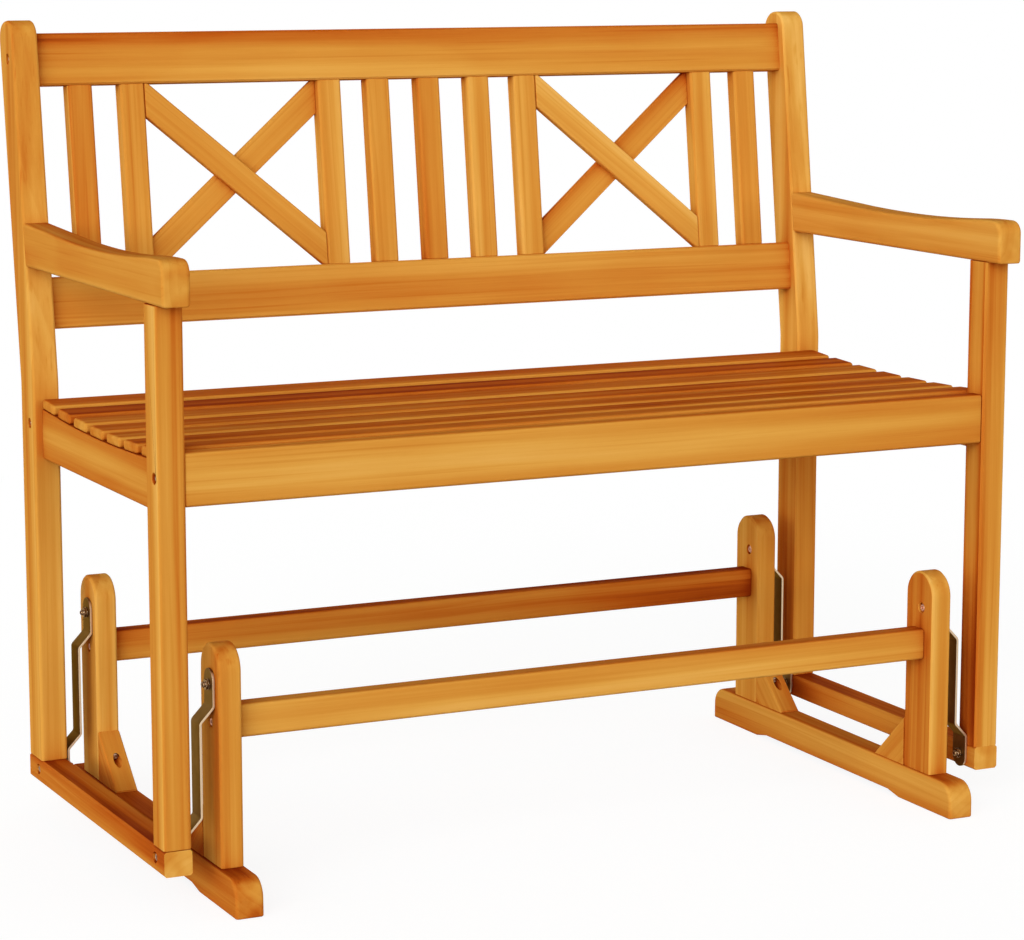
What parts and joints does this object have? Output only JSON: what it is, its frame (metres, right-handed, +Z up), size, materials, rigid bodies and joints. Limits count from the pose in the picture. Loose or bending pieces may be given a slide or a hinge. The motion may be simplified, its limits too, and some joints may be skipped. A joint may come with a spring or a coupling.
{
  "type": "glider bench",
  "caption": "Slatted wooden garden bench with crossed back panels, hung on joggled steel links from a low sled base so that it glides forward and back.",
  "frame": {"origin": "on the floor under the middle of the base", "axes": "+X along the bench to the sitter's left, -Y the front of the bench, +Z up"},
  "size_m": [1, 0.535, 0.8825],
  "materials": {
    "bench_wood": "satin oiled hardwood, orange brown",
    "base_wood": "satin oiled hardwood, orange brown",
    "link_steel": "bronze passivated flat bar",
    "fastener_steel": "plated steel"
  },
  "bodies": {
    "base": {"foot_left": "base_wood", "upright_front_left": "base_wood", "gusset_front_left": "base_wood", "upright_rear_left": "base_wood", "gusset_rear_left": "base_wood", "foot_right": "base_wood", "upright_front_right": "base_wood", "gusset_front_right": "base_wood", "upright_rear_right": "base_wood", "gusset_rear_right": "base_wood", "stretcher_front": "base_wood", "stretcher_rear": "base_wood", "upper_pivot_bolts": "fastener_steel", "upper_domed_nuts": "fastener_steel"},
    "link_front_left": {"link_front_left": "link_steel"},
    "link_front_right": {"link_front_right": "link_steel"},
    "link_rear_left": {"link_rear_left": "link_steel"},
    "link_rear_right": {"link_rear_right": "link_steel"},
    "bench": {"front_leg_left": "bench_wood", "rear_post_left": "bench_wood", "bottom_rail_left": "bench_wood", "armrest_left": "bench_wood", "seat_bearer_left": "bench_wood", "front_leg_right": "bench_wood", "rear_post_right": "bench_wood", "bottom_rail_right": "bench_wood", "armrest_right": "bench_wood", "seat_bearer_right": "bench_wood", "seat_bearer_centre": "bench_wood", "front_apron": "bench_wood", "rear_seat_rail": "bench_wood", "seat_slat_1": "bench_wood", "seat_slat_2": "bench_wood", "seat_slat_3": "bench_wood", "seat_slat_4": "bench_wood", "seat_slat_5": "bench_wood", "seat_slat_6": "bench_wood", "seat_slat_7": "bench_wood", "back_top_rail": "bench_wood", "back_lower_rail": "bench_wood", "back_slat_1": "bench_wood", "back_slat_2": "bench_wood", "back_slat_3": "bench_wood", "back_slat_4": "bench_wood", "back_slat_5": "bench_wood", "back_slat_6": "bench_wood", "back_slat_7": "bench_wood", "back_slat_8": "bench_wood", "back_slat_9": "bench_wood", "back_brace_front_left": "bench_wood", "back_brace_rear_left": "bench_wood", "back_brace_front_right": "bench_wood", "back_brace_rear_right": "bench_wood", "lower_pivot_bolts": "fastener_steel", "lower_nuts": "fastener_steel"}
  },
  "joints": [
    {"name": "swing_front_left", "type": "hinge", "parent": "base", "child": "link_front_left", "pos_m": [-0.4389, -0.1975, 0.2283], "axis": [1, 0, 0], "range_deg": [-20, 20]},
    {"name": "bench_hang", "type": "hinge", "parent": "link_front_left", "child": "bench", "pos_m": [-0.46835, -0.1975, 0.0548], "axis": [1, 0, 0], "range_deg": [-20, 20]},
    {"name": "swing_front_right", "type": "hinge", "parent": "base", "child": "link_front_right", "pos_m": [0.4389, -0.1975, 0.2283], "axis": [1, 0, 0], "range_deg": [-20, 20]},
    {"name": "swing_rear_left", "type": "hinge", "parent": "base", "child": "link_rear_left", "pos_m": [-0.4389, 0.189, 0.2283], "axis": [1, 0, 0], "range_deg": [-20, 20]},
    {"name": "swing_rear_right", "type": "hinge", "parent": "base", "child": "link_rear_right", "pos_m": [0.4389, 0.189, 0.2283], "axis": [1, 0, 0], "range_deg": [-20, 20]}
  ],
  "couplings": [
    {"joint": "bench_hang", "follows": "swing_front_left", "ratio": -1},
    {"joint": "swing_front_right", "follows": "swing_front_left", "ratio": 1},
    {"joint": "swing_rear_left", "follows": "swing_front_left", "ratio": 1},
    {"joint": "swing_rear_right", "follows": "swing_front_left", "ratio": 1}
  ]
}
